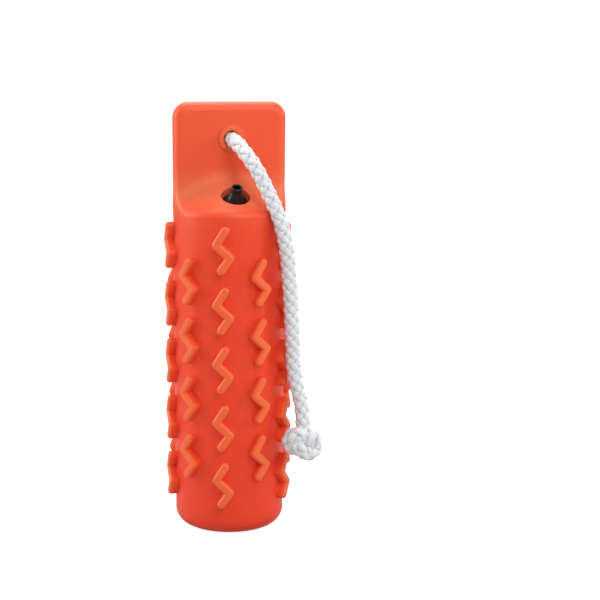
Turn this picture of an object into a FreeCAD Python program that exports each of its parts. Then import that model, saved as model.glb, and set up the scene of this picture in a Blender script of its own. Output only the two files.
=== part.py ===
"""Retriever training bumper: a soft hollow moulded body with raised zigzag ribs and a flat hand tab,
a rubber air valve in a pocket on its shoulder, and a braided throw rope knotted through the tab's eye.

Frame: millimetres, +Z up along the body, -Y the side with the valve, origin at the centre of the base.
"""

import FreeCAD, Part
import math
import os
from FreeCAD import Placement, Rotation, Vector

# ---------------------------------------------------------------- driving dimensions, mm
# moulded body
HEIGHT = 305.0                # base to the top of the tab
BODY_RADIUS = 39.2            # at the base
TOP_RADIUS = 40.4             # the same taper carried up to the top of the tab
BASE_FILLET = 11.0            # rounding from the flat base into the side
WALL = 3.4                    # thickness of the moulded skin

# coned shoulder that rises to the tab
SHOULDER_HEIGHT = 250.0       # where the cone meets the middle of the tab's face
SHOULDER_SLOPE = 31.0         # fall of the shoulder from level, degrees
SHOULDER_HOLLOW = 18.0        # hollow rounding between shoulder and tab

# hand tab
TAB_THICKNESS = 14.0
TAB_CORNER_RADIUS = 11.0      # the two upper corners, seen from the front
RIM_FILLET = 6.2              # rounding round the rim of the tab and along the shoulder's edge

# eye for the rope
EYE_DROP = 25.3               # top of the tab down to the eye's centre
EYE_CLEARANCE = 0.4           # all round the rope
EYE_BOSS_RADIUS = 9.4
EYE_BOSS_RISE = 1.5           # how far the moulded ring stands off the tab
EYE_BEVEL = 0.6               # softened edges of the ring and of the eye's mouth

# zigzag ribs
RIB_COLUMNS = 10              # columns round the body, every second one lower and one rib shorter
RIB_ROWS = 5                  # ribs in a full column
RIB_TOP = 219.0               # upper end of the highest ribs
RIB_STEP = 41.7               # from one rib to the next down a column
RIB_STAGGER = 22.7            # drop of every second column
RIB_DROP = 27.6               # from a rib's upper end to its lower end
RIB_REACH = 4.8               # how far the two bends stand out to the sides
RIB_LEAN = 1.4                # how far the two ends stand off the rib's middle
RIB_WIDTH = 5.8
RIB_RISE = 6.0                # height over the body's skin
RIB_BEVEL = 1.2               # softened edge along the crown
RIB_ROOT = 2.0                # how far each rib runs back into the skin

# valve pocket, square to the front shoulder
POCKET_INSET = 18.5           # from the edge of the shoulder back to the pocket's centre
POCKET_RADIUS = 10.2
POCKET_DEPTH = 6.0
POCKET_LIP = 0.6              # softened edge round the pocket's mouth
PORT_RADIUS = 4.2             # hole through the pocket's floor

# rubber valve
VALVE_FIT = 0.15              # clearance between the valve's neck and its hole
FLANGE_MARGIN = 1.2           # pocket wall to the flange that lies on the pocket's floor
FLANGE_THICKNESS = 1.0
SKIRT_RADIUS = 7.6            # foot of the flared skirt
SKIRT_STEP = 0.9              # height of the skirt's upright edge
NOZZLE_RADIUS = 3.9
NOZZLE_BASE = 9.2             # from the pocket's floor to the foot of the nozzle
NOZZLE_TIP = 13.2             # from the pocket's floor to the tip of the nozzle
BORE_RADIUS = 2.5             # where the inflating needle goes in
BULB_RADIUS = 6.2             # collar that holds the valve behind the floor
BULB_LENGTH = 6.5
PLUG_LENGTH = 9.0             # self-closing plug in the inner end of the valve
PLUG_RADIUS = 3.0
PLUG_HEAD = 1.2               # thickness of the plug's retaining head
PLUG_HEAD_RADIUS = 4.4
SLIT_WIDTH = 0.3

# rope and its knots
ROPE_DIAMETER = 10.0
EYE_EXIT = 7.0                # straight rope in front of the eye before it turns down
KNOT_GAP = 0.3                # stopper knot to the ring behind the tab
STOPPER_LENGTH = 21.0
STOPPER_WIDTH = 27.0
END_KNOT_LENGTH = 25.0
END_KNOT_WIDTH = 27.0
TAIL_LENGTH = 6.0             # short cut end that stands out of each knot

# Route of the hanging rope once it has turned down out of the eye, chosen by hand.
# The last point is the top of the end knot.
ROPE_ROUTE = [
    (5.6, -27.0, 270.6),
    (12.6, -32.0, 259.6),
    (19.4, -35.2, 244.5),
    (26.6, -37.2, 229.0),
    (31.6, -40.3, 208.0),
    (35.1, -38.2, 175.0),
    (37.8, -35.6, 137.0),
    (39.1, -34.2, 117.0),
    (42.2, -34.0, 103.5),
    (45.0, -37.6, 90.5),
    (44.8, -40.1, 76.0),
]

Y, Z = Vector(0, 1, 0), Vector(0, 0, 1)
ORIGIN = Vector(0, 0, 0)
ROUND_STEP = math.radians(30)  # straight steps that stand in for the ribs' small roundings

# ---------------------------------------------------------------- worked out from those
SLOPE = math.radians(SHOULDER_SLOPE)
HALF_TAB = TAB_THICKNESS / 2
FAR = 4 * BODY_RADIUS         # safely outside the body
TAPER = (TOP_RADIUS - BODY_RADIUS) / HEIGHT
EDGE_HEIGHT = (SHOULDER_HEIGHT - (BODY_RADIUS - HALF_TAB) * math.tan(SLOPE)) / (1 + TAPER * math.tan(SLOPE))
EDGE_RADIUS = BODY_RADIUS + TAPER * EDGE_HEIGHT
CONE_APEX = SHOULDER_HEIGHT + HALF_TAB * math.tan(SLOPE)
EYE_FACE = HALF_TAB + EYE_BOSS_RISE
EYE_HEIGHT = HEIGHT - EYE_DROP
ROPE_RADIUS = ROPE_DIAMETER / 2
EYE_RADIUS = ROPE_RADIUS + EYE_CLEARANCE

POCKET_REACH = EDGE_RADIUS - POCKET_INSET
POCKET_AXIS = Vector(0, -math.sin(SLOPE), math.cos(SLOPE))
POCKET_MOUTH = Vector(0, -POCKET_REACH, SHOULDER_HEIGHT - (POCKET_REACH - HALF_TAB) * math.tan(SLOPE))
POCKET_FLOOR = POCKET_MOUTH - POCKET_AXIS * POCKET_DEPTH


def lathe(corners):
    """Solid of revolution about Z from the (radius, height) corners of its outline."""
    points = [Vector(radius, 0, height) for radius, height in corners]
    return Part.Face(Part.makePolygon(points + points[:1])).revolve(ORIGIN, Z, 360)


def along_tab(shape):
    """Turns a shape built up along +Z to lie along +Y, centred on the eye."""
    placed = shape.copy()
    placed.Placement = Placement(Vector(0, 0, EYE_HEIGHT), Rotation(Z, Y))
    return placed


def edges_where(shape, test):
    return [edge for edge in shape.Edges if test(edge)]


def on_pocket_floor(shape):
    """Takes a shape built up along +Z from the origin to the pocket's floor, square to the shoulder."""
    placed = shape.copy()
    placed.Placement = Placement(POCKET_FLOOR, Rotation(Z, POCKET_AXIS))
    return placed


# ---------------------------------------------------------------- body
def body_radius(height):
    return BODY_RADIUS + TAPER * height


def shoulder_space():
    """Space above the coned shoulder, front and back of the tab."""
    above = lathe([
        (0, CONE_APEX),
        (FAR, CONE_APEX - FAR * math.tan(SLOPE)),
        (FAR, HEIGHT + 1),
        (0, HEIGHT + 1),
    ])
    return above.cut(Part.makeBox(2 * FAR, TAB_THICKNESS, HEIGHT + 2, Vector(-FAR, -HALF_TAB, 0)))


def outer_form():
    """Body and tab in one: hollow foot of the tab, its two corners, then the whole rim rounded."""
    barrel = lathe([(0, 0), (BODY_RADIUS, 0), (TOP_RADIUS, HEIGHT), (0, HEIGHT)])
    barrel.rotate(ORIGIN, Z, 90)
    foot_edge = edges_where(barrel, lambda e: e.BoundBox.ZMax < 0.01)
    form = barrel.makeFillet(BASE_FILLET, foot_edge).cut(shoulder_space())
    form = form.makeFillet(SHOULDER_HOLLOW, edges_where(form, at_tab_foot))
    form = form.makeFillet(TAB_CORNER_RADIUS, edges_where(form, at_tab_corner))
    return form.makeFillet(RIM_FILLET, edges_where(form, on_rim))


def edge_middle(edge):
    return edge.valueAt((edge.FirstParameter + edge.LastParameter) / 2)


def at_tab_foot(edge):
    """True for the two inner corners between the tab and the shoulder."""
    middle = edge_middle(edge)
    return abs(middle.z - SHOULDER_HEIGHT) < 0.1 and abs(abs(middle.y) - HALF_TAB) < 0.01


def at_tab_corner(edge):
    """True for the two short edges across the top of the tab at its ends."""
    middle = edge_middle(edge)
    return middle.z > HEIGHT - 0.01 and abs(middle.y) < 0.01


def on_rim(edge):
    """True for the edges round the tab and along the shoulder, where their faces meet the body's side."""
    middle = edge_middle(edge)
    on_side = abs(math.hypot(middle.x, middle.y) - body_radius(middle.z)) < 0.05
    round_top = middle.z > HEIGHT - TAB_CORNER_RADIUS
    seam_or_foot = edge.BoundBox.XLength < 0.01 or middle.z < 2 * BASE_FILLET
    return abs(middle.y) > HALF_TAB - 0.01 and (on_side or round_top) and not seam_or_foot


def cavity():
    """Air space inside the body; it ends under the shoulder, so the tab above is solid."""
    foot_bevel = 0.6 * (BASE_FILLET - WALL)
    edge = EDGE_RADIUS - WALL
    apex = CONE_APEX - WALL / math.cos(SLOPE)
    return lathe([
        (0, WALL),
        (BODY_RADIUS - WALL - foot_bevel, WALL),
        (BODY_RADIUS - WALL, WALL + foot_bevel),
        (edge, apex - edge * math.tan(SLOPE)),
        (0, apex),
    ])


def heading(start, end):
    return math.atan2(end[1] - start[1], end[0] - start[0])


def stroke_outline(path, half_width):
    """Closed outline at half_width round an open path of (x, z) points, as one walk there and back.
    Its ends and outer bends are round, in short straight steps."""
    walk = path + path[-2:0:-1]
    outline = []
    for before, here, after in zip(walk[-1:] + walk, walk, walk[1:] + walk[:1]):
        side = heading(before, here) - math.pi / 2
        turn = heading(here, after) - heading(before, here)
        turn -= 2 * math.pi * math.floor(turn / (2 * math.pi) + 0.499)
        if turn > 0:
            steps = max(1, round(turn / ROUND_STEP))
            reach, angles = half_width, [side + turn * k / steps for k in range(steps + 1)]
        else:
            reach, angles = half_width / math.cos(turn / 2), [side + turn / 2]
        outline += [Vector(here[0] + reach * math.cos(a), 0, here[1] + reach * math.sin(a)) for a in angles]
    return Part.makePolygon(outline + outline[:1])


def upright_rib():
    """One zigzag rib facing -Y, its upper end at the origin's height, its foot on the plane Y = 0."""
    path = [
        (RIB_LEAN, 0),
        (-RIB_REACH, -RIB_DROP * 0.36),
        (RIB_REACH, -RIB_DROP * 0.68),
        (-RIB_LEAN, -RIB_DROP),
    ]
    face = Part.Face(stroke_outline(path, RIB_WIDTH / 2))
    face.translate(Y * RIB_ROOT)
    rib = face.extrude(Y * (-RIB_RISE - RIB_ROOT))
    crown = edges_where(rib, lambda e: e.BoundBox.YMax < 0.01 - RIB_RISE)
    return rib.makeChamfer(RIB_BEVEL, crown)


def ribs():
    """All ribs round the body: full columns and, between them, lower columns with one rib fewer."""
    pattern = upright_rib()
    turn = 360 / RIB_COLUMNS
    placed = []
    for column in range(RIB_COLUMNS):
        lower = column % 2
        for row in range(RIB_ROWS - lower):
            top = RIB_TOP - lower * RIB_STAGGER - row * RIB_STEP
            rib = pattern.copy()
            rib.translate(Vector(0, -body_radius(top - RIB_DROP / 2), top))
            rib.rotate(ORIGIN, Z, turn * (column - 0.5))
            placed.append(rib)
    return placed


def eye_boss():
    """Moulded ring round the eye, standing off both faces of the tab."""
    side = EYE_FACE - EYE_BEVEL
    top = EYE_BOSS_RADIUS - EYE_BEVEL
    return along_tab(lathe([
        (0, -EYE_FACE),
        (top, -EYE_FACE),
        (EYE_BOSS_RADIUS, -side),
        (EYE_BOSS_RADIUS, side),
        (top, EYE_FACE),
        (0, EYE_FACE),
    ]))


def eye_hole():
    """Cutter for the eye, opened out at both mouths."""
    mouth = EYE_FACE - EYE_BEVEL
    out = EYE_FACE + EYE_BEVEL
    return along_tab(lathe([
        (0, -out),
        (EYE_RADIUS + 2 * EYE_BEVEL, -out),
        (EYE_RADIUS, -mouth),
        (EYE_RADIUS, mouth),
        (EYE_RADIUS + 2 * EYE_BEVEL, out),
        (0, out),
    ]))


def pocket_cup():
    """Skin that carries the pocket down into the body, in the valve's own axis."""
    cup = Part.makeCylinder(POCKET_RADIUS + WALL, POCKET_DEPTH + WALL - 1.0, Vector(0, 0, -WALL))
    return on_pocket_floor(cup)


def pocket_cutter():
    """Cutter for the pocket with a softened lip, and the port through its floor."""
    above = POCKET_DEPTH + BODY_RADIUS
    return on_pocket_floor(lathe([
        (0, -WALL - 1),
        (PORT_RADIUS, -WALL - 1),
        (PORT_RADIUS, 0),
        (POCKET_RADIUS, 0),
        (POCKET_RADIUS, POCKET_DEPTH - POCKET_LIP),
        (POCKET_RADIUS + POCKET_LIP, POCKET_DEPTH),
        (POCKET_RADIUS + POCKET_LIP, above),
        (0, above),
    ]))


def body_shell():
    body = outer_form().fuse(eye_boss())
    body = body.cut(cavity().cut(pocket_cup()))
    body = body.fuse(ribs())
    return body.cut(eye_hole()).cut(pocket_cutter())


# ---------------------------------------------------------------- valve
def valve_boot():
    """Rubber valve: flange on the pocket's floor, flared skirt, nozzle, neck and retaining collar."""
    flange = POCKET_RADIUS - FLANGE_MARGIN
    neck = PORT_RADIUS - VALVE_FIT
    inner_end = -WALL - BULB_LENGTH
    plug_seat = inner_end + PLUG_LENGTH
    flare_foot = FLANGE_THICKNESS + SKIRT_STEP
    flare_rise = NOZZLE_BASE - flare_foot
    flare_run = SKIRT_RADIUS - NOZZLE_RADIUS
    bevel = 0.3 * (NOZZLE_RADIUS - BORE_RADIUS)
    return on_pocket_floor(lathe([
        (NOZZLE_RADIUS, NOZZLE_BASE),
        (NOZZLE_RADIUS, NOZZLE_TIP - bevel),
        (NOZZLE_RADIUS - bevel, NOZZLE_TIP),
        (BORE_RADIUS + bevel, NOZZLE_TIP),
        (BORE_RADIUS, NOZZLE_TIP - bevel),
        (BORE_RADIUS, plug_seat),
        (PLUG_RADIUS, plug_seat),
        (PLUG_RADIUS, inner_end),
        (PLUG_HEAD_RADIUS, inner_end),
        (BULB_RADIUS, -WALL - 0.4 * BULB_LENGTH),
        (BULB_RADIUS, -WALL),
        (neck, -WALL),
        (neck, 0),
        (flange, 0),
        (flange, FLANGE_THICKNESS),
        (SKIRT_RADIUS, FLANGE_THICKNESS),
        (SKIRT_RADIUS, flare_foot),
        (NOZZLE_RADIUS + 0.62 * flare_run, flare_foot + 0.22 * flare_rise),
        (NOZZLE_RADIUS + 0.28 * flare_run, flare_foot + 0.55 * flare_rise),
    ]))


def valve_plug():
    """Self-closing plug pushed into the inner end of the valve, slit across for the needle."""
    inner_end = -WALL - BULB_LENGTH
    plug = lathe([
        (0, inner_end - PLUG_HEAD),
        (PLUG_HEAD_RADIUS, inner_end - PLUG_HEAD),
        (PLUG_HEAD_RADIUS, inner_end),
        (PLUG_RADIUS, inner_end),
        (PLUG_RADIUS, inner_end + PLUG_LENGTH),
        (0, inner_end + PLUG_LENGTH),
    ])
    slit_length = 1.2 * PLUG_RADIUS
    slit = Part.makeBox(SLIT_WIDTH, slit_length, PLUG_LENGTH + PLUG_HEAD + 2)
    slit.translate(Vector(-SLIT_WIDTH / 2, -slit_length / 2, inner_end - PLUG_HEAD - 1))
    return on_pocket_floor(plug.cut(slit))


# ---------------------------------------------------------------- rope
def rope_points():
    """The rope's corners from the stopper knot through the eye and down to the end knot."""
    start = Vector(0, EYE_FACE + KNOT_GAP, EYE_HEIGHT)
    turn = Vector(0, -EYE_FACE - EYE_EXIT, EYE_HEIGHT)
    return [start, turn] + [Vector(*p) for p in ROPE_ROUTE]


def centre_line(points):
    """Straight runs joined by arcs that touch both runs; each arc takes 0.45 of its shorter run."""
    edges, length, here = [], 0.0, points[0]
    for before, corner, after in zip(points, points[1:], points[2:]):
        back, ahead = (before - corner), (after - corner)
        shorter = min(back.Length, ahead.Length)
        back.normalize()
        ahead.normalize()
        half_turn = (math.pi - back.getAngle(ahead)) / 2
        reach = 0.45 * shorter
        radius = reach / math.tan(half_turn)
        inward = (back + ahead).normalize()
        middle = corner + inward * (radius / math.cos(half_turn) - radius)
        start, end = corner + back * reach, corner + ahead * reach
        edges += [Part.makeLine(here, start), Part.Arc(start, middle, end).toShape()]
        print(f"rope bend radius {radius:.1f} mm, turn {math.degrees(2 * half_turn):.1f} degrees")
        here = end
    edges.append(Part.makeLine(here, points[-1]))
    return Part.Wire(edges)


def throw_rope():
    points = rope_points()
    path = centre_line(points)
    section = Part.Wire(Part.makeCircle(ROPE_RADIUS, points[0], points[1] - points[0]))
    tube = path.makePipeShell([section], True, True)
    expected = math.pi * ROPE_RADIUS ** 2 * path.Length
    print(f"rope length {path.Length:.1f} mm, volume {tube.Volume:.0f}, section x length {expected:.0f} mm3")
    return tube


def knot(neck, direction, length, width, tail_side):
    """Pulled-up overhand knot as two bulging turns, starting in a disc as wide as the rope at its neck."""
    turns = lathe([
        (0, 0),
        (ROPE_RADIUS, 0),
        (0.40 * width, 0.12 * length),
        (0.44 * width, 0.30 * length),
        (0.38 * width, 0.46 * length),
        (0.50 * width, 0.62 * length),
        (0.48 * width, 0.84 * length),
        (0.30 * width, length),
        (0, length),
    ])
    tail_radius = 0.9 * ROPE_RADIUS
    tail = Part.makeCylinder(tail_radius, 0.5 * length + TAIL_LENGTH, Vector(0, 0, length / 2), Vector(1, 0, 2))
    solid = turns.fuse(tail)
    solid.rotate(ORIGIN, Z, tail_side)
    solid.Placement = Placement(neck, Rotation(Z, direction)).multiply(solid.Placement)
    return solid


def stopper_knot():
    return knot(rope_points()[0], Y, STOPPER_LENGTH, STOPPER_WIDTH, 30.0)


def end_knot():
    above, neck = rope_points()[-2:]
    return knot(neck, neck - above, END_KNOT_LENGTH, END_KNOT_WIDTH, 250.0)


# ---------------------------------------------------------------- the set of parts
def main():
    os.makedirs("parts", exist_ok=True)
    nodes = {
        "body_shell": body_shell(),
        "valve_boot": valve_boot(),
        "valve_plug": valve_plug(),
        "throw_rope": throw_rope(),
        "stopper_knot": stopper_knot(),
        "end_knot": end_knot(),
    }
    for name, shape in nodes.items():
        solid = shape.Solids[0]
        print(f"{name}: valid {solid.isValid()}, solids {len(shape.Solids)}, {solid.Volume:.0f} mm3")
        solid.exportStep(f"parts/{name}.step")


main()
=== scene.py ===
"""Looks for the training bumper: soft orange vinyl body, black rubber valve, white braided throw rope."""

import math

import bpy
import numpy as np
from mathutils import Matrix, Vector


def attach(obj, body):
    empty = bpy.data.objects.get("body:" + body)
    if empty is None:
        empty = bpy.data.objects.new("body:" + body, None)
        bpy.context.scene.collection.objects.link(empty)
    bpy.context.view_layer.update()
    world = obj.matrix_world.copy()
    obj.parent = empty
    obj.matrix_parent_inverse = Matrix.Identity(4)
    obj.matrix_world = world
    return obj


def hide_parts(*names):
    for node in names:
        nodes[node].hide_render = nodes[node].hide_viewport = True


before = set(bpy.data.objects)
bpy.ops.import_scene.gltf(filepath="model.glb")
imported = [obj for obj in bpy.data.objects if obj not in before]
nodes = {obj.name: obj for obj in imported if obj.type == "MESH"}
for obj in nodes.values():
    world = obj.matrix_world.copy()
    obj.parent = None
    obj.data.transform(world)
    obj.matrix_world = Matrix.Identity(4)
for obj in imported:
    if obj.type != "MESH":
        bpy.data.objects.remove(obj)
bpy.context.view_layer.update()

# ---------------------------------------------------------------- rope, metres
EYE_HEIGHT = 0.2797
ROPE_RADIUS = 0.005
ROPE_START = 0.0088           # rope's first point, in the stopper knot behind the tab

# the rope's route, the same points as the solid rope follows
ROPE_ROUTE = [
    (0.0, ROPE_START, EYE_HEIGHT),
    (0.0, -0.0155, EYE_HEIGHT),
    (0.0056, -0.0270, 0.2706),
    (0.0126, -0.0320, 0.2596),
    (0.0194, -0.0352, 0.2445),
    (0.0266, -0.0372, 0.2290),
    (0.0316, -0.0403, 0.2080),
    (0.0351, -0.0382, 0.1750),
    (0.0378, -0.0356, 0.1370),
    (0.0391, -0.0342, 0.1170),
    (0.0422, -0.0340, 0.1035),
    (0.0450, -0.0376, 0.0905),
    (0.0448, -0.0401, 0.0760),
]

# overhand knots: a trefoil with its top lobe opened, pulled up tight
KNOT_RADIUS = 0.0062          # the knot's centre to the middle of its turns
KNOT_SWING = 0.0039           # how far the turns swing in and out from there
KNOT_DEPTH = 0.0049           # how far they rise and fall where they cross
KNOT_CENTRE = 0.0075          # from the neck, along the rope
KNOT_LEAN = math.radians(20)
KNOT_ROPE = 0.0057            # radius of the rope where the knot spreads it
TURN_START = 0.42             # where on the trefoil, in radians, the rope joins it
TURN_STEP = 0.2
TURN_POINTS = 24
# right, near and down: the lead-in from the neck, and the tail from the knot's centre
LEAD_IN = [(0.0, 0.0, 0.0), (0.0004, 0.0004, 0.0018), (0.0022, 0.0022, 0.0036)]
TAIL = [(-0.0064, 0.0020, 0.0041), (-0.0104, 0.0034, 0.0061)]
SPREAD_REACH = 0.007          # length over which the rope widens into a knot
SEALED_END = 0.0045           # length over which each heat-sealed end rounds off
SEALED_TIP = 0.99             # how far the end closes: 1 would be to a point

# braid
CARRIERS = 4                  # strands that wind each way
BRAID_LEAD = 0.033            # length of one full turn of a strand
BRAID_RADIUS = 0.0055         # crowns of the strands stand a little over the rope's nominal radius
BRAID_STEP = 0.0007           # spacing of the rings along a strand
STRAND_WIDTH = 0.0050
STRAND_THICK = 0.0031
STRAND_LIFT = 0.00075         # rise and fall of a strand as it passes over and under
STRAND_SIDES = 12
UV_GAP = 5                    # keeps the pattern of the two ways of winding apart

# ---------------------------------------------------------------- colours, in linear light
BODY_COLOUR = (0.86, 0.045, 0.015, 1)
# painted highlight: the ribs lighter than the body
RIB_PAINTED_HIGHLIGHT = (0.92, 0.155, 0.046, 1)
# painted light: the tab and the top of the body lighter, as light falls from above
TAB_PAINTED_TOP_LIGHT = (0.88, 0.092, 0.032, 1)
# painted highlight: the raised boss round the eye lighter than the tab
BOSS_PAINTED_HIGHLIGHT = (0.91, 0.135, 0.045, 1)
# painted reflection: the pale band over the shoulder
SHOULDER_PAINTED_REFLECTION = (0.82, 0.155, 0.062, 1)
RUBBER_DARK = (0.0025, 0.0025, 0.003, 1)
RUBBER_PALE = (0.006, 0.006, 0.007, 1)
THREAD_DARK = (0.66, 0.68, 0.71, 1)
THREAD_PALE = (0.88, 0.89, 0.90, 1)
# painted shade between the strands
PAINTED_CREASE_SHADE = (0.79, 0.81, 0.84, 1)   # multiplies the threads' colour down between the strands
STAGE_COLOUR = (0.55, 0.55, 0.55, 1)
NONE, FULL = (0, 0, 0, 1), (1, 1, 1, 1)

# where the vinyl's colours and its painted light meet, metres
RIB_RISE = (0.0408, 0.0450)            # distances from the body's axis between which a rib rises and the painted highlight on the ribs comes in
BOSS_EDGE = (0.0084, 0.0098)           # distances from the eye's axis where its boss runs into the tab and its painted highlight fades out
TOP_LIGHT_FADE = (0.212, 0.242)              # heights over which the deep body colour gives way to the lighter tab colour: painted light, lighter towards the top
SHOULDER_REFLECTION_FADE = (0.228, 0.240, 0.264)  # heights where the painted reflection on the shoulder begins, is palest and ends

# where the painted shade in a strand's creases ends and starts, and where its crown is, as parts of the way
# round it
CREASE_END, CROWN_START, CROWN_END, CREASE_START = 0.03, 0.15, 0.35, 0.47

# ---------------------------------------------------------------- camera and light
VIEW_AZIMUTH = math.radians(-12.5)
CAMERA_DISTANCE = 0.960
CAMERA_HEIGHT = 0.326
CAMERA_PITCH = math.radians(10.4)
CAMERA_LENS = 81.2
CAMERA_SHIFT = (0.118, 0.0328)

FLOOR_SIZE = 6.0
FLOOR_LEVEL = -0.0005
STAGE_LIFT = 0.86             # light the floor gives to the camera alone
WORLD_LIGHT = 0.52

# lamps: place, the point it looks at, width and height, watts
LAMPS = {
    "left softbox": ((-0.93, 0.22, 0.55), (0, 0, 0.20), (0.45, 0.75), 5.4),
    "right softbox": ((0.97, -0.45, 0.60), (0, 0, 0.22), (0.40, 0.70), 3.5),
    "key softbox": ((0.22, -0.90, 0.95), (0, 0, 0.20), (0.60, 0.60), 5.2),
    "overhead softbox": ((0.05, 0.35, 1.20), (0, 0, 0.25), (0.75, 0.60), 7.6),
}


# ---------------------------------------------------------------- building materials
def new_material(name):
    """A material with an empty principled shader; returns the material, its tree and the shader."""
    material = bpy.data.materials.new(name)
    material.use_nodes = True
    tree = material.node_tree
    return material, tree, tree.nodes["Principled BSDF"]


def add(tree, kind, **settings):
    """A node whose settings are its inputs, where it has such, and otherwise its own options."""
    node = tree.nodes.new(kind)
    for key, value in settings.items():
        if isinstance(value, (int, float, tuple)) and key in node.inputs:
            node.inputs[key].default_value = value
        else:
            setattr(node, key, value)
    return node


def ramp(tree, source, *stops):
    """Colour ramp fed by source, with each stop a position and a colour."""
    node = tree.nodes.new("ShaderNodeValToRGB")
    elements = node.color_ramp.elements
    for element, (position, colour) in zip(elements, stops):
        element.position = position
        element.color = colour
    for position, colour in stops[2:]:
        elements.new(position).color = colour
    tree.links.new(source, node.inputs["Fac"])
    return node.outputs["Color"]


def blend(tree, share, first, second, **options):
    """Colour between first and second, each an output or a plain colour."""
    node = add(tree, "ShaderNodeMix", data_type="RGBA", **options)
    for socket, value in (("Factor", share), ("A", first), ("B", second)):
        if isinstance(value, (float, tuple)):
            node.inputs[socket].default_value = value
        else:
            tree.links.new(value, node.inputs[socket])
    return node.outputs["Result"]


def object_place(tree):
    """Coordinates on the object itself."""
    return add(tree, "ShaderNodeTexCoord").outputs["Object"]


def noise(tree, place, **settings):
    """Noise on the given coordinates."""
    node = add(tree, "ShaderNodeTexNoise", **settings)
    tree.links.new(place, node.inputs["Vector"])
    return node.outputs["Fac"]


def off_line(tree, place, point, across):
    """Distance from a line through point, measured only in the directions that across names."""
    flat = add(tree, "ShaderNodeMapping")
    flat.inputs["Location"].default_value = [-value for value in point]
    flat.inputs["Scale"].default_value = across
    tree.links.new(place, flat.inputs["Vector"])
    length = add(tree, "ShaderNodeVectorMath", operation="LENGTH")
    tree.links.new(flat.outputs["Vector"], length.inputs[0])
    return length.outputs["Value"]


def uneven_gloss(tree, shader, source, low, high):
    """Roughness that wanders between low and high."""
    gloss = add(tree, "ShaderNodeMapRange")
    gloss.inputs["To Min"].default_value = low
    gloss.inputs["To Max"].default_value = high
    tree.links.new(source, gloss.inputs["Value"])
    tree.links.new(gloss.outputs["Result"], shader.inputs["Roughness"])


def relief(tree, shader, source, strength, depth, edge_radius=None):
    """Fine bump from source, over edges that look rounded where an edge radius is given."""
    bump = add(tree, "ShaderNodeBump")
    bump.inputs["Strength"].default_value = strength
    bump.inputs["Distance"].default_value = depth
    tree.links.new(source, bump.inputs["Height"])
    if edge_radius:
        soft_edge = add(tree, "ShaderNodeBevel", samples=6)
        soft_edge.inputs["Radius"].default_value = edge_radius
        tree.links.new(soft_edge.outputs["Normal"], bump.inputs["Normal"])
    tree.links.new(bump.outputs["Normal"], shader.inputs["Normal"])


# ---------------------------------------------------------------- materials
def vinyl_colour_with_painted_light(tree, place):
    """Deep over the hollow body, with painted light laid over it: painted highlights on the ribs and the
    eye's boss, painted light from above on the tab, and a painted reflection on the shoulder, which is
    palest.
    The colours are given; they aren't worked out from how thick the vinyl is."""
    off_axis = off_line(tree, place, (0, 0, 0), (1.0, 1.0, 0.0))
    # painted highlight on the ribs, by distance from the body's axis
    body = ramp(tree, off_axis, (RIB_RISE[0], BODY_COLOUR), (RIB_RISE[1], RIB_PAINTED_HIGHLIGHT))
    # painted highlight on the eye's boss
    off_eye = off_line(tree, place, (0, 0, EYE_HEIGHT), (1.0, 0.0, 1.0))
    tab = ramp(tree, off_eye, (BOSS_EDGE[0], BOSS_PAINTED_HIGHLIGHT), (BOSS_EDGE[1], TAB_PAINTED_TOP_LIGHT))
    split = add(tree, "ShaderNodeSeparateXYZ")
    tree.links.new(place, split.inputs["Vector"])
    # painted reflection: a pale band laid over the shoulder by height
    shoulder = ramp(tree, split.outputs["Z"], *zip(SHOULDER_REFLECTION_FADE, (NONE, FULL, NONE)))
    shoulder.node.color_ramp.interpolation = "EASE"
    upper_painted_light = blend(tree, shoulder, tab, SHOULDER_PAINTED_REFLECTION)
    # painted light from above: lighter from the body up to the tab
    height = add(tree, "ShaderNodeMapRange", interpolation_type="SMOOTHSTEP")
    height.inputs["From Min"].default_value = TOP_LIGHT_FADE[0]
    height.inputs["From Max"].default_value = TOP_LIGHT_FADE[1]
    tree.links.new(split.outputs["Z"], height.inputs["Value"])
    return blend(tree, height.outputs["Result"], body, upper_painted_light)


def soft_vinyl():
    """Blaze-orange moulded vinyl that lets some light in, with an uneven satin gloss and fine grain."""
    material, tree, shader = new_material("orange_vinyl")
    place = object_place(tree)
    # the base colour carries painted highlights, painted light from above and a painted reflection
    tree.links.new(vinyl_colour_with_painted_light(tree, place), shader.inputs["Base Color"])
    haze = noise(tree, place, Scale=60.0, Detail=4.0, Roughness=0.6)
    uneven_gloss(tree, shader, haze, 0.38, 0.48)
    grain = noise(tree, place, Scale=900.0, Detail=2.0, Roughness=0.6)
    relief(tree, shader, grain, 0.10, 0.0003, edge_radius=0.0013)
    shader.inputs["Subsurface Weight"].default_value = 0.25
    shader.inputs["Subsurface Radius"].default_value = (1.0, 0.25, 0.12)
    shader.inputs["Subsurface Scale"].default_value = 0.005
    shader.inputs["Specular IOR Level"].default_value = 0.45
    shader.inputs["Specular Tint"].default_value = (1.0, 0.96, 0.68, 1)
    return material


def black_rubber():
    """Black valve rubber with a faint grey bloom."""
    material, tree, shader = new_material("black_rubber")
    bloom = noise(tree, object_place(tree), Scale=350.0, Detail=4.0, Roughness=0.6)
    tree.links.new(ramp(tree, bloom, (0.35, RUBBER_DARK), (0.75, RUBBER_PALE)), shader.inputs["Base Color"])
    uneven_gloss(tree, shader, bloom, 0.30, 0.42)
    relief(tree, shader, bloom, 0.15, 0.0001, edge_radius=0.0004)
    shader.inputs["Specular IOR Level"].default_value = 0.4
    return material


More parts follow.
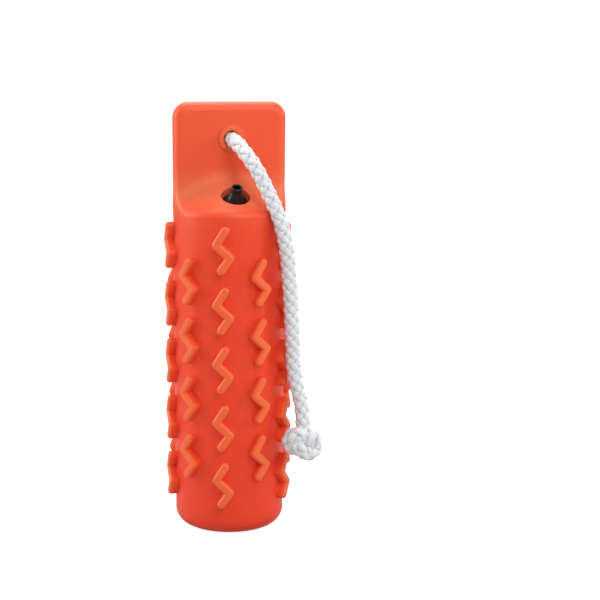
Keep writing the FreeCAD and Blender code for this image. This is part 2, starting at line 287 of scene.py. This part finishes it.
def white_cord():
    """White filament yarn: fine threads along each strand, with painted shade down between the strands."""
    material, tree, shader = new_material("white_cord")
    along = add(tree, "ShaderNodeUVMap", uv_map="strand").outputs["UV"]
    spread = add(tree, "ShaderNodeMapping")
    spread.inputs["Scale"].default_value = (34.0, 260.0, 1.0)
    tree.links.new(along, spread.inputs["Vector"])
    threads = noise(tree, spread.outputs["Vector"], Scale=1.0, Detail=3.0, Roughness=0.55, Distortion=0.3)
    yarn = ramp(tree, threads, (0.3, THREAD_DARK), (0.7, THREAD_PALE))
    split = add(tree, "ShaderNodeSeparateXYZ")
    tree.links.new(along, split.inputs["Vector"])
    round_strand = add(tree, "ShaderNodeMath", operation="FRACT")
    tree.links.new(split.outputs["X"], round_strand.inputs[0])
    # painted shade: darker in the creases and on the underside of each strand, full on its crown
    crease = ramp(tree, round_strand.outputs["Value"], (CREASE_END, PAINTED_CREASE_SHADE), (CROWN_START, FULL),
                  (CROWN_END, FULL), (CREASE_START, PAINTED_CREASE_SHADE))
    tree.links.new(blend(tree, 1.0, yarn, crease, blend_type="MULTIPLY"), shader.inputs["Base Color"])
    relief(tree, shader, threads, 0.55, 0.00025)
    shader.inputs["Roughness"].default_value = 0.36
    shader.inputs["Specular IOR Level"].default_value = 0.7
    return material


def plain_stage():
    """Floor: matt white, lifted to the camera so that only the object's shadow shows."""
    material, tree, shader = new_material("plain_stage")
    shader.inputs["Base Color"].default_value = STAGE_COLOUR
    shader.inputs["Roughness"].default_value = 0.9
    shader.inputs["Specular IOR Level"].default_value = 0.0
    glow = add(tree, "ShaderNodeEmission")
    glow.inputs["Color"].default_value = FULL
    glow.inputs["Strength"].default_value = STAGE_LIFT
    lifted = add(tree, "ShaderNodeAddShader")
    tree.links.new(shader.outputs["BSDF"], lifted.inputs[0])
    tree.links.new(glow.outputs["Emission"], lifted.inputs[1])
    camera_only(tree, shader.outputs["BSDF"], lifted.outputs["Shader"], tree.nodes["Material Output"])
    return material


def camera_only(tree, lighting, seen, output):
    """The output gives lighting to the object and seen to the camera."""
    path = add(tree, "ShaderNodeLightPath")
    either = add(tree, "ShaderNodeMixShader")
    tree.links.new(path.outputs["Is Camera Ray"], either.inputs["Fac"])
    tree.links.new(lighting, either.inputs[1])
    tree.links.new(seen, either.inputs[2])
    tree.links.new(either.outputs["Shader"], output.inputs["Surface"])


# ---------------------------------------------------------------- lines in space
def smooth_line(name, points):
    """The smooth line that a route of points guides, as evenly spaced points read from its curve."""
    curve = bpy.data.curves.new(name, "CURVE")
    curve.dimensions = "3D"
    curve.resolution_u = 24
    spline = curve.splines.new("NURBS")
    spline.points.add(len(points) - 1)
    for slot, point in zip(spline.points, points):
        slot.co = (*point, 1.0)
    spline.order_u = 3
    spline.use_endpoint_u = True
    guide = bpy.data.objects.new(name, curve)
    bpy.context.collection.objects.link(guide)
    bpy.context.view_layer.update()
    mesh = bpy.data.meshes.new_from_object(guide)
    line = np.array([v.co[:] for v in mesh.vertices])
    bpy.data.meshes.remove(mesh)
    bpy.data.objects.remove(guide)
    return evenly(line, BRAID_STEP)


def travel(line):
    """Distance along the line at each of its points."""
    return np.concatenate([[0.0], np.cumsum(np.linalg.norm(np.diff(line, axis=0), axis=1))])


def evenly(line, step):
    """The same line with its points a step apart."""
    at = travel(line)
    count = max(4, int(round(at[-1] / step)))
    want = np.linspace(0.0, at[-1], count + 1)
    return np.column_stack([np.interp(want, at, line[:, axis]) for axis in range(3)])


def unit(rows):
    """Each row at length 1."""
    return rows / np.linalg.norm(rows, axis=1, keepdims=True)


def line_axes(line):
    """The way ahead at each point of the line and two vectors square to it, carried without twist."""
    ahead = unit(np.gradient(line, axis=0))
    first = np.cross(ahead[0], (0.0, 0.0, 1.0))
    if np.linalg.norm(first) < 0.1:
        first = np.cross(ahead[0], (0.0, 1.0, 0.0))
    across = [first / np.linalg.norm(first)]
    for way in ahead[1:]:
        kept = across[-1] - way * across[-1].dot(way)
        across.append(kept / np.linalg.norm(kept))
    across = np.array(across)
    return ahead, across, np.cross(ahead, across)


# ---------------------------------------------------------------- braid
def strand_points(way, carrier, line, axes, travelled, scale):
    """Points of one strand, ring after ring, as it winds round the rope and passes over and under."""
    ahead, across, deep = axes
    turn = 2 * math.pi / BRAID_LEAD
    middle = BRAID_RADIUS - STRAND_THICK / 2 - STRAND_LIFT
    angle = way * turn * travelled + carrier * 2 * math.pi / CARRIERS
    cosine, sine = np.cos(angle)[:, None], np.sin(angle)[:, None]
    out = across * cosine + deep * sine
    round_way = (deep * cosine - across * sine) * way
    wave = np.cos(CARRIERS * turn * travelled)
    centre = line + out * ((middle + way * STRAND_LIFT * wave) * scale)[:, None]
    tangent = unit(ahead + round_way * (turn * middle * scale)[:, None])
    side = unit(np.cross(tangent, out))
    up = np.cross(side, tangent)
    points = []
    for place, flat, high, size in zip(centre, side, up, scale):
        for a in np.linspace(0.0, 2 * math.pi, STRAND_SIDES, endpoint=False):
            points.append(place + flat * (math.cos(a) * STRAND_WIDTH / 2 * size)
                          + high * (math.sin(a) * STRAND_THICK / 2 * size))
    return points


def strand_skin(base, shift, travelled):
    """Faces of one strand between its rings and over both ends, from vertex base on, and their UVs:
    round the strand, moved by a whole number, and along the rope."""
    faces, uvs = [], []
    for i in range(len(travelled) - 1):
        low, top = base + i * STRAND_SIDES, base + (i + 1) * STRAND_SIDES
        v0, v1 = travelled[i], travelled[i + 1]
        for k in range(STRAND_SIDES):
            n = (k + 1) % STRAND_SIDES
            faces.append((low + k, low + n, top + n, top + k))
            u0, u1 = k / STRAND_SIDES + shift, (k + 1) / STRAND_SIDES + shift
            uvs += [(u0, v0), (u1, v0), (u1, v1), (u0, v1)]
    last = base + (len(travelled) - 1) * STRAND_SIDES
    for cap in (range(base + STRAND_SIDES - 1, base - 1, -1), range(last, last + STRAND_SIDES)):
        faces.append(tuple(cap))
        uvs += [(0.0, 0.0)] * STRAND_SIDES
    return faces, uvs


def braid(name, line, radius, part):
    """Braided rope along part of a line: strands wind both ways and pass over and under each other.
    radius is the rope's outside radius at each point of the whole line."""
    axes = [rows[part] for rows in line_axes(line)]
    travelled, scale = travel(line)[part], (radius / ROPE_RADIUS)[part]
    vertices, faces, uvs = [], [], []
    for way in (1, -1):
        for carrier in range(CARRIERS):
            skin, pattern = strand_skin(len(vertices), carrier + (way + 1) * UV_GAP, travelled)
            vertices += strand_points(way, carrier, line[part], axes, travelled, scale)
            faces += skin
            uvs += pattern
    mesh = bpy.data.meshes.new(name)
    mesh.from_pydata([tuple(v) for v in vertices], [], faces)
    layer = mesh.uv_layers.new(name="strand")
    layer.data.foreach_set("uv", np.array(uvs, dtype=np.float32).ravel())
    mesh.shade_smooth()
    mesh.validate()
    piece = bpy.data.objects.new(name, mesh)
    bpy.context.collection.objects.link(piece)
    return piece


# ---------------------------------------------------------------- rope and knots
def knot_line(neck, way, facing):
    """The knot's own line: neck is where the rope enters, way the direction it enters in,
    and facing the side on which the entering rope crosses over."""
    way = Vector(way).normalized()
    across = Vector(facing).cross(way).normalized()
    front = way.cross(across)

    def place(right, near, down):
        return tuple(Vector(neck) + across * right + front * near + way * down)

    points = [place(*point) for point in LEAD_IN]
    for step in range(TURN_POINTS):
        t = TURN_START + step * TURN_STEP
        reach = KNOT_RADIUS + KNOT_SWING * math.cos(3 * t)
        angle = 2 * t + KNOT_LEAN
        points.append(place(reach * math.sin(angle), KNOT_DEPTH * math.sin(3 * t),
                            KNOT_CENTRE - reach * math.cos(angle)))
    points += [place(right, near, KNOT_CENTRE + down) for right, near, down in TAIL]
    return smooth_line("knot guide", points)


def rope_radius(whole, first, last):
    """Outside radius along the whole line: wider in the knots before first and after last,
    and rounded off at the sealed ends."""
    travelled = travel(whole)
    inside = np.maximum(travelled[first] - travelled, travelled - travelled[last])
    spread = np.clip(inside / SPREAD_REACH + 0.5, 0.0, 1.0)
    radius = ROPE_RADIUS - (ROPE_RADIUS - KNOT_ROPE) * (spread ** 2 * (3 - 2 * spread))
    from_cut = np.minimum(travelled, travelled[-1] - travelled) / SEALED_END
    return radius * np.sqrt(1.0 - np.clip(SEALED_TIP - from_cut, 0.0, 1.0) ** 2)


def rope_and_knots():
    """One braided line through stopper knot, eye and end knot, in three pieces that meet at the necks."""
    line = smooth_line("rope guide", ROPE_ROUTE)
    towards_viewer = (math.sin(VIEW_AZIMUTH), -math.cos(VIEW_AZIMUTH), 0.0)
    end = knot_line(line[-1], line[-1] - line[-3], towards_viewer)
    stop = knot_line(line[0], line[0] - line[2], (0.0, 0.0, 1.0))
    whole = np.concatenate([stop[:0:-1], line, end[1:]])
    first, last = len(stop) - 1, len(stop) + len(line) - 2
    radius = rope_radius(whole, first, last)
    rope_piece = braid("throw_rope_braid", whole, radius, slice(first, last + 1))
    end_piece = braid("end_knot_braid", whole, radius, slice(last, len(whole)))
    stop_piece = braid("stopper_knot_braid", whole, radius, slice(0, first + 1))
    cord = white_cord()
    for piece, node in ((rope_piece, "throw_rope"), (end_piece, "end_knot"), (stop_piece, "stopper_knot")):
        piece.data.materials.append(cord)
        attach(piece, "rope")
        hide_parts(node)


# ---------------------------------------------------------------- moulding and valve
def dress(node, material):
    """Gives a solid its finish."""
    solid = nodes[node]
    solid.data.materials.clear()
    solid.data.materials.append(material)


# ---------------------------------------------------------------- stage, light and camera
def area_lamp(name, place, aim, size, energy):
    """A softbox that looks at aim."""
    lamp = bpy.data.lights.new(name, "AREA")
    lamp.shape = "RECTANGLE"
    lamp.size, lamp.size_y = size
    lamp.energy = energy
    holder = bpy.data.objects.new(name, lamp)
    holder.location = place
    holder.rotation_euler = (Vector(aim) - Vector(place)).to_track_quat("-Z", "Y").to_euler()
    bpy.context.collection.objects.link(holder)


def white_world():
    """Even light from all round, which the camera sees as plain white."""
    world = bpy.data.worlds.new("studio")
    bpy.context.scene.world = world
    world.use_nodes = True
    tree = world.node_tree
    lighting = tree.nodes["Background"]
    lighting.inputs["Color"].default_value = FULL
    lighting.inputs["Strength"].default_value = WORLD_LIGHT
    seen = tree.nodes.new("ShaderNodeBackground")
    seen.inputs["Color"].default_value = FULL
    seen.inputs["Strength"].default_value = 1.0
    camera_only(tree, lighting.outputs["Background"], seen.outputs["Background"], tree.nodes["World Output"])


def studio():
    """White floor, four softboxes and the white world round them."""
    bpy.ops.object.select_all(action="DESELECT")
    bpy.ops.mesh.primitive_plane_add(size=FLOOR_SIZE, location=(0, 0, FLOOR_LEVEL))
    floor = bpy.context.object
    floor.name = "floor"
    floor.data.materials.append(plain_stage())
    for name, settings in LAMPS.items():
        area_lamp(name, *settings)
    white_world()


def camera():
    """The camera, in front and a little to the left, looking slightly down."""
    data = bpy.data.cameras.new("camera")
    data.lens = CAMERA_LENS
    data.sensor_width = 36.0
    data.shift_x, data.shift_y = CAMERA_SHIFT
    data.clip_start = 0.01
    holder = bpy.data.objects.new("camera", data)
    side, ahead = math.sin(VIEW_AZIMUTH), math.cos(VIEW_AZIMUTH)
    holder.location = (CAMERA_DISTANCE * side, -CAMERA_DISTANCE * ahead, CAMERA_HEIGHT)
    holder.rotation_euler = (math.pi / 2 - CAMERA_PITCH, 0.0, VIEW_AZIMUTH)
    bpy.context.collection.objects.link(holder)
    bpy.context.scene.camera = holder


# ---------------------------------------------------------------- the bumper
dress("body_shell", soft_vinyl())
rubber = black_rubber()
dress("valve_boot", rubber)
dress("valve_plug", rubber)
rope_and_knots()
studio()
camera()
bpy.context.scene.view_settings.view_transform = "Standard"
